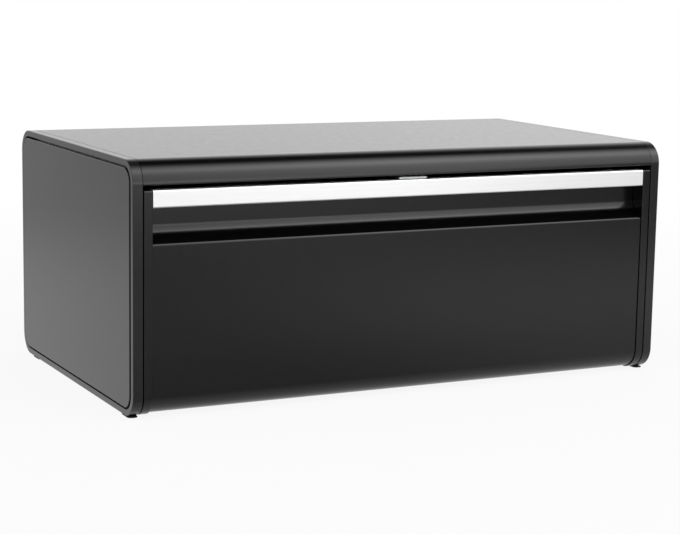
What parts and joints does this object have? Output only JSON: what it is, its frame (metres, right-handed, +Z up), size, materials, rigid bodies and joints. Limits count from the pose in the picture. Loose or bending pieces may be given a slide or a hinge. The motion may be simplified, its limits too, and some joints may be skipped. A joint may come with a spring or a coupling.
{
  "type": "bread box",
  "caption": "Fall-front bread box: a bent steel body between moulded end frames, with a bottom-hinged steel lid, a finger recess and a bright metal handle strip.",
  "frame": {"origin": "under the middle of the box, on the surface that it stands on", "axes": "+X to the right seen from the front, the lid is on the -Y side, +Z up"},
  "size_m": [0.445, 0.26, 0.184],
  "materials": {
    "black_paint": "satin black powder coat on sheet steel",
    "black_plastic": "fine-grained moulded plastic",
    "grey_plastic": "matt moulded plastic",
    "stainless_steel": "brushed along its length",
    "zinc_plate": "bright zinc plate",
    "ferrite": "sintered, matt",
    "nylon": "natural nylon",
    "black_rubber": "matt"
  },
  "bodies": {
    "root": {"body_sleeve": "black_paint", "base_tray": "grey_plastic", "end_frame_left": "black_plastic", "end_frame_right": "black_plastic", "side_panel_left": "black_paint", "side_panel_right": "black_paint", "front_rail": "black_plastic", "magnet_housing": "black_plastic", "catch_magnet": "ferrite", "pole_plate_front": "zinc_plate", "pole_plate_rear": "zinc_plate", "catch_screw_left": "zinc_plate", "catch_screw_right": "zinc_plate", "hinge_bush_left": "nylon", "hinge_bush_right": "nylon", "lid_buffer_left": "black_rubber", "lid_buffer_right": "black_rubber", "foot_front_left": "black_rubber", "foot_front_right": "black_rubber", "foot_rear_left": "black_rubber", "foot_rear_right": "black_rubber", "frame_screw_back_top_left": "zinc_plate", "frame_screw_back_top_right": "zinc_plate", "frame_screw_back_bottom_left": "zinc_plate", "frame_screw_back_bottom_right": "zinc_plate", "frame_screw_base_rear_left": "zinc_plate", "frame_screw_base_rear_right": "zinc_plate", "frame_screw_base_front_left": "zinc_plate", "frame_screw_base_front_right": "zinc_plate"},
    "lid": {"lid_panel": "black_paint", "handle_strip": "stainless_steel", "lid_cap_left": "black_plastic", "lid_cap_right": "black_plastic", "strike_plate": "zinc_plate", "strike_rivet_left": "zinc_plate", "strike_rivet_right": "zinc_plate", "hinge_pin_left": "stainless_steel", "hinge_pin_right": "stainless_steel", "cap_screw_lower_left": "zinc_plate", "cap_screw_lower_right": "zinc_plate", "cap_screw_upper_left": "zinc_plate", "cap_screw_upper_right": "zinc_plate"}
  },
  "joints": [
    {"name": "lid_hinge", "type": "hinge", "parent": "root", "child": "lid", "pos_m": [0, -0.113, 0.0179], "axis": [1, 0, 0], "range_deg": [0, 90]}
  ]
}
